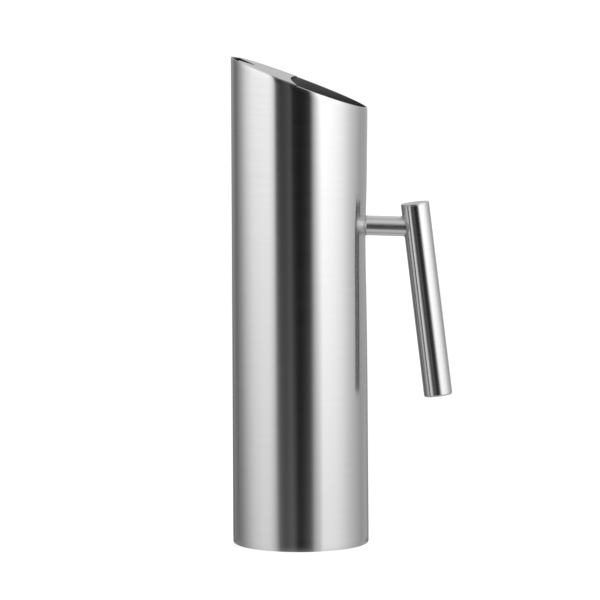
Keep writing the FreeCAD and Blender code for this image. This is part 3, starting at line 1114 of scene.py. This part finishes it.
TENT_STOPS = (
    TentStop(-180.0, 0.39, 0.07),
    TentStop(-165.0, 0.37, 0.11),
    TentStop(-148.0, 0.36, 0.3),
    TentStop(-140.0, 0.22, 0.24),
    TentStop(-130.0, 0.25, 0.22),
    TentStop(-115.0, 0.57, 0.36),
    TentStop(-100.0, 1.05, 0.61),
    TentStop(-85.0, 1.36, 0.88),
    TentStop(-65.0, 1.43, 1.06),
    TentStop(-52.0, 1.45, 1.02),
    TentStop(-48.0, 1.33, 0.88),
    TentStop(-45.0, 1.15, 0.78),
    TentStop(-43.5, 1.05, 0.74),
    TentStop(-42.0, 0.86, 0.64),
    TentStop(-40.5, 0.34, 0.56),
    TentStop(-39.0, 0.13, 0.42),
    TentStop(-37.5, 0.08, 0.3),
    TentStop(-35.0, 0.07, 0.17),
    TentStop(-29.0, 0.055, 0.12),
    TentStop(-23.0, 0.075, 0.1),
    TentStop(-17.0, 0.105, 0.14),
    TentStop(-13.6, 0.11, 0.15),
    TentStop(-12.2, 0.01, 0.14),
    TentStop(-8.0, 0.0, 0.09),
    TentStop(-4.0, 0.0, 0.03),
    TentStop(2.0, 0.0, 0.03),
    TentStop(8.0, 0.005, 0.06),
    TentStop(13.0, 0.015, 0.09),
    TentStop(17.0, 0.03, 0.14),
    TentStop(19.0, 0.07, 0.2),
    TentStop(20.5, 0.27, 0.3),
    TentStop(22.0, 0.46, 0.43),
    TentStop(24.0, 0.68, 0.56),
    TentStop(28.0, 1.08, 0.72),
    TentStop(32.0, 1.47, 0.84),
    TentStop(36.0, 1.75, 1.08),
    TentStop(38.0, 1.88, 1.26),
    TentStop(60.0, 1.68, 1.22),
    TentStop(76.0, 1.45, 1.05),
    TentStop(90.0, 1.1, 0.83),
    TentStop(100.0, 0.9, 0.72),
    TentStop(124.0, 0.54, 0.46),
    TentStop(145.0, 0.52, 0.52),
    TentStop(165.0, 0.56, 0.24),
    TentStop(180.0, 0.39, 0.07),
)


@dataclass
class Studio:
    """The pale table, the light tent round the object, and the camera. Metres and degrees."""

    tent_radius: float = 1.6
    tent_middle: float = 0.17
    low_angle: float = -14.0
    low_share: tuple[float, float] = (-0.7, 1.4)  # how far the cloth's change by height goes
    cloth_least: float = 0.005
    roof_fade: tuple[float, float] = (6.0, 52.0)  # degrees up, from the cloth to the roof
    table_fade: tuple[float, float] = (26.0, 50.0)  # degrees down, from the cloth to the table
    even_to: float = 60.0  # degrees up and down to where the roof and the table are even
    overhead: float = 0.92  # brightness of the tent's roof halfway up
    zenith: float = 0.62
    underneath: float = 0.78  # brightness of the table just round the object
    nadir: float = 0.50
    azimuths: int = 360
    elevations: int = 91
    last_row: float = 89.0  # degrees up and down to the cloth's last rows
    foot_reach: tuple[float, float] = (-4.0 * MM, 12.0 * MM)  # of the glow, past the foot
    foot_rings: int = 12
    foot_base: float = 0.12  # brightness of the glow where the cloth above is black
    foot_gain: float = 0.8
    shaded_table: float = 0.50  # painted shade of the table close behind the foot, as a brightness
    shade_fade: tuple[float, float] = (95.0, 130.0)  # degrees round, from front to shade
    table_reach: float = 14.0
    camera_distance: float = 3.5
    camera_height: float = 0.5499
    aim_height: float = 0.1619
    camera_roll: float = 0.232
    sensor: float = 36.0
    lens: float = 319.18

    def brightness(self, azimuth: Array, elevation: Array) -> Array:
        """The tent's brightness by direction.

        Straight lines between the stops by azimuth, and between their level and low values
        by elevation. Above, it fades into the roof, and below, into the lit table.

        Args:
            azimuth: Degrees from the camera's side, positive to its right.
            elevation: Degrees up from level.

        Returns:
            The brightness, as an array of the two shapes joined.
        """
        stops = [stop.azimuth for stop in TENT_STOPS]
        level = np.interp(azimuth, stops, [stop.level for stop in TENT_STOPS])
        low = np.interp(azimuth, stops, [stop.low for stop in TENT_STOPS])
        share = np.clip(elevation / self.low_angle, *self.low_share)
        wall = np.maximum(level + share * (low - level), self.cloth_least)
        roof = np.interp(elevation, [self.even_to, 90.0], [self.overhead, self.zenith])
        table = np.interp(elevation, [-90.0, -self.even_to], [self.nadir, self.underneath])
        to_roof = smooth_step(elevation, *self.roof_fade)
        to_table = smooth_step(-elevation, *self.table_fade)
        return (wall * (1.0 - to_roof) + roof * to_roof) * (1.0 - to_table) + table * to_table

    def tent_material(self) -> Material:
        """Translucent tent cloth lit from outside, as plain emission read from a vertex field."""
        made = bpy.data.materials.new("light_tent_cloth")
        tree = empty_tree(made)
        field = {"attribute_type": "GEOMETRY", "attribute_name": "glow"}
        glow = add_node(tree, "ShaderNodeAttribute", field).outputs["Fac"]
        light = add_node(tree, "ShaderNodeEmission", links={"Strength": glow}).outputs["Emission"]
        add_node(tree, "ShaderNodeOutputMaterial", links={"Surface": light})
        return made

    def add_glowing(
        self, name: str, place: tuple[Array, Array, Array], glow: Array, ends: Ends
    ) -> bpy.types.Object:
        """A grid of points that glows and that the camera doesn't see itself.

        Args:
            name: The object's name.
            place: Azimuth in degrees, distance from the axis and height of each point, in
                shapes that join to rows x columns.
            glow: The brightness of each point.
            ends: How the grid's first and last rows end.

        Returns:
            The linked object.
        """
        azimuth, reach, height = place
        x = reach * np.sin(np.radians(azimuth))
        y = -reach * np.cos(np.radians(azimuth))
        mesh = grid_mesh(name, np.stack([x, y, height + 0.0 * x], axis=-1), ends)
        values = mesh.attributes.new("glow", "FLOAT", "POINT")
        values.data.foreach_set("value", glow.reshape(-1).astype(np.float32))
        mesh.materials.append(self.tent_material())
        made = add_object(name, mesh)
        made.visible_camera = False
        made.visible_shadow = False
        return made

    def add_tent(self) -> None:
        """A ball of cloth round the object that only lights it and shows in its reflections.

        Each point lies one tent radius from the object's middle, at an azimuth and an
        elevation, and glows by the brightness of that direction.
        """
        azimuth = np.degrees(full_circle(self.azimuths)) - 180.0
        elevation = np.linspace(-self.last_row, self.last_row, self.elevations)[:, None]
        flat = self.tent_radius * np.cos(np.radians(elevation))
        height = self.tent_middle + self.tent_radius * np.sin(np.radians(elevation))
        glow = self.brightness(azimuth, elevation)
        tent = self.add_glowing("light_tent", (azimuth, flat, height), glow, Ends.CAPPED)

    def add_table(self) -> None:
        """A wide, pale table top, lit a little from below as a product table is."""
        side = 3  # points along each edge
        axis = np.linspace(-self.table_reach, self.table_reach, side)
        x, y = np.meshgrid(axis, axis)
        points = np.stack([x, y, np.full_like(x, -2.0 * HAIR)], axis=-1).reshape(-1, 3)
        corners = [row * side + column for row in range(side - 1) for column in range(side - 1)]
        faces = [(k, k + 1, k + side + 1, k + side) for k in corners]
        mesh = bpy.data.meshes.new("table_top")
        mesh.from_pydata(points.tolist(), [], faces)
        table = add_object("table_top", mesh)
        made = bpy.data.materials.new("opal_acrylic")
        tree = empty_tree(made)
        shader = add_node(
            tree,
            "ShaderNodeBsdfPrincipled",
            values={
                "Base Color": linear_colour("#7C7C7C"),
                "Roughness": 0.9,
                "Specular IOR Level": 0.0,
                "Emission Color": (1.0, 1.0, 1.0, 1.0),
                "Emission Strength": 0.895,
            },
        ).outputs["BSDF"]
        add_node(tree, "ShaderNodeOutputMaterial", links={"Surface": shader})
        mesh.materials.append(made)
        table.visible_glossy = False

    def add_painted_foot_reflection(self, foot: float) -> None:
        """Painted reflection and painted shade of the table close round the foot, for the foot's
        rounded edge.

        A flat ring that glows though it is no lamp, and shows in reflections only. In front,
        its brightness is a painted reflection that carries on the tent's, formula: base + gain x
        the tent's low brightness at azimuth 2 a r / (2 r - foot), where a is the azimuth and r
        the distance of a place on the ring. Behind, it fades to the even grey of the table in
        the object's own shade, a painted shade.

        Args:
            foot: Radius of the body.
        """
        azimuth = np.degrees(full_circle(self.azimuths)) - 180.0
        near, far = (foot + past for past in self.foot_reach)
        reach = np.linspace(near, far, self.foot_rings)[:, None]
        seen = np.clip(2.0 * azimuth * reach / (2.0 * reach - foot), -180.0, 180.0)
        low = self.brightness(seen, np.full_like(seen, self.low_angle))
        front = self.foot_base + self.foot_gain * low
        behind = smooth_step(np.abs(azimuth), *self.shade_fade)
        glow = front * (1.0 - behind) + self.shaded_table * behind
        # Painted reflection and painted shade: a glowing ring that shows only in the foot's
        # reflections.
        ring = self.add_glowing("painted_foot_reflection", (azimuth, reach, -HAIR), glow, Ends.OPEN)
        ring.visible_diffuse = False

    def add_backdrop(self) -> None:
        """White all round, for the camera and the table beyond the tent."""
        world = bpy.data.worlds.new("white_surround")
        tree = empty_tree(world)
        white = {"Color": (1.0, 1.0, 1.0, 1.0), "Strength": 1.0}
        shade = add_node(tree, "ShaderNodeBackground", values=white).outputs["Background"]
        add_node(tree, "ShaderNodeOutputWorld", links={"Surface": shade})
        bpy.context.scene.world = world

    def add_camera(self) -> None:
        """A long lens on a stand in front of the object, looking slightly down."""
        data = bpy.data.cameras.new("camera")
        data.sensor_width = self.sensor
        data.lens = self.lens
        data.clip_end = 100.0
        camera = add_object("camera", data)
        place = Vector((0.0, -self.camera_distance, self.camera_height))
        look = Vector((0.0, 0.0, self.aim_height)) - place
        turn = look.to_track_quat("-Z", "Y").to_matrix().to_4x4()
        roll = Matrix.Rotation(-math.radians(self.camera_roll), 4, "Z")
        camera.matrix_world = Matrix.Translation(place) @ turn @ roll
        bpy.context.scene.camera = camera

    def build(self, foot: float) -> None:
        """Set the scene's stage, light and camera.

        Args:
            foot: Radius of the body that stands on the table.
        """
        self.add_table()
        self.add_painted_foot_reflection(foot)
        self.add_tent()
        self.add_backdrop()
        self.add_camera()
        bpy.context.scene.view_settings.view_transform = "Standard"
        bpy.context.scene.view_settings.look = "None"


def main() -> None:
    """Build the pitcher's sub-assemblies in order, then the studio round them."""
    logging.basicConfig(level=logging.INFO, format="%(name)s: %(message)s")
    body = PitcherBody.from_frame()
    guard = IceGuard(body)
    handle = Handle.from_frame(body)

    # Grooves round the body: they draw every reflection out up and down into even bands.
    shell_steel = BrushedSteel("satin_brushed_304_sheet").material()
    # The sheet's duller mill finish, left inside, in a darker grey that is partly painted shade:
    # the mouth reads as a soft grey hollow.
    inside_steel = BrushedSteel(
        "as_rolled_304_inside_painted_shade",
        colour="#999999",
        dark_streak="#929292",
        roughness=0.42,
        anisotropy=0.2,
        metallic=0.93,
    ).material()
    # Ground across both ways: the guard's top stays plainer and flatter than the shell.
    guard_steel = BrushedSteel("ground_304_plate", anisotropy=0.35, roughness=0.38).material()
    # Grooves round the hanging grip: bright and dark lines that run down along it.
    bar_steel = BrushedSteel(
        "satin_brushed_304_bar", roughness=0.2, grain_tilt=-handle.grip_tilt
    ).material()
    # Grooves round the stem: a soft bright line along its top, darker below.
    rod_steel = BrushedSteel(
        "satin_brushed_304_rod", roughness=0.25, grain_tilt=90.0 + handle.stem_droop
    ).material()
    # A disc ground flat with no one direction: an even, matt end to the bar.
    disc_steel = BrushedSteel("ground_304_disc", anisotropy=0.0, roughness=0.38).material()
    # Beads dressed by hand: matt grey lines that tell the joined pieces apart.
    weld_steel = WeldSteel("dressed_weld").material()
    # The guard's free edges, in the slot and at the front and rear, are painted near black: painted
    # shade of the dark hollow under the slot, set against the bright plate.
    cut_edge_shade = WeldSteel(
        "cut_edge_painted_shade", colour="#242322", tarnish="#1C1B1A", roughness=0.35
    ).material()

    body.build(shell_steel, inside_steel, weld_steel)
    guard.build(guard_steel, cut_edge_shade, shell_steel, weld_steel)
    handle.build(bar_steel, rod_steel, disc_steel, weld_steel)
    Studio().build(body.radius)


if __name__ == "__main__":
    main()
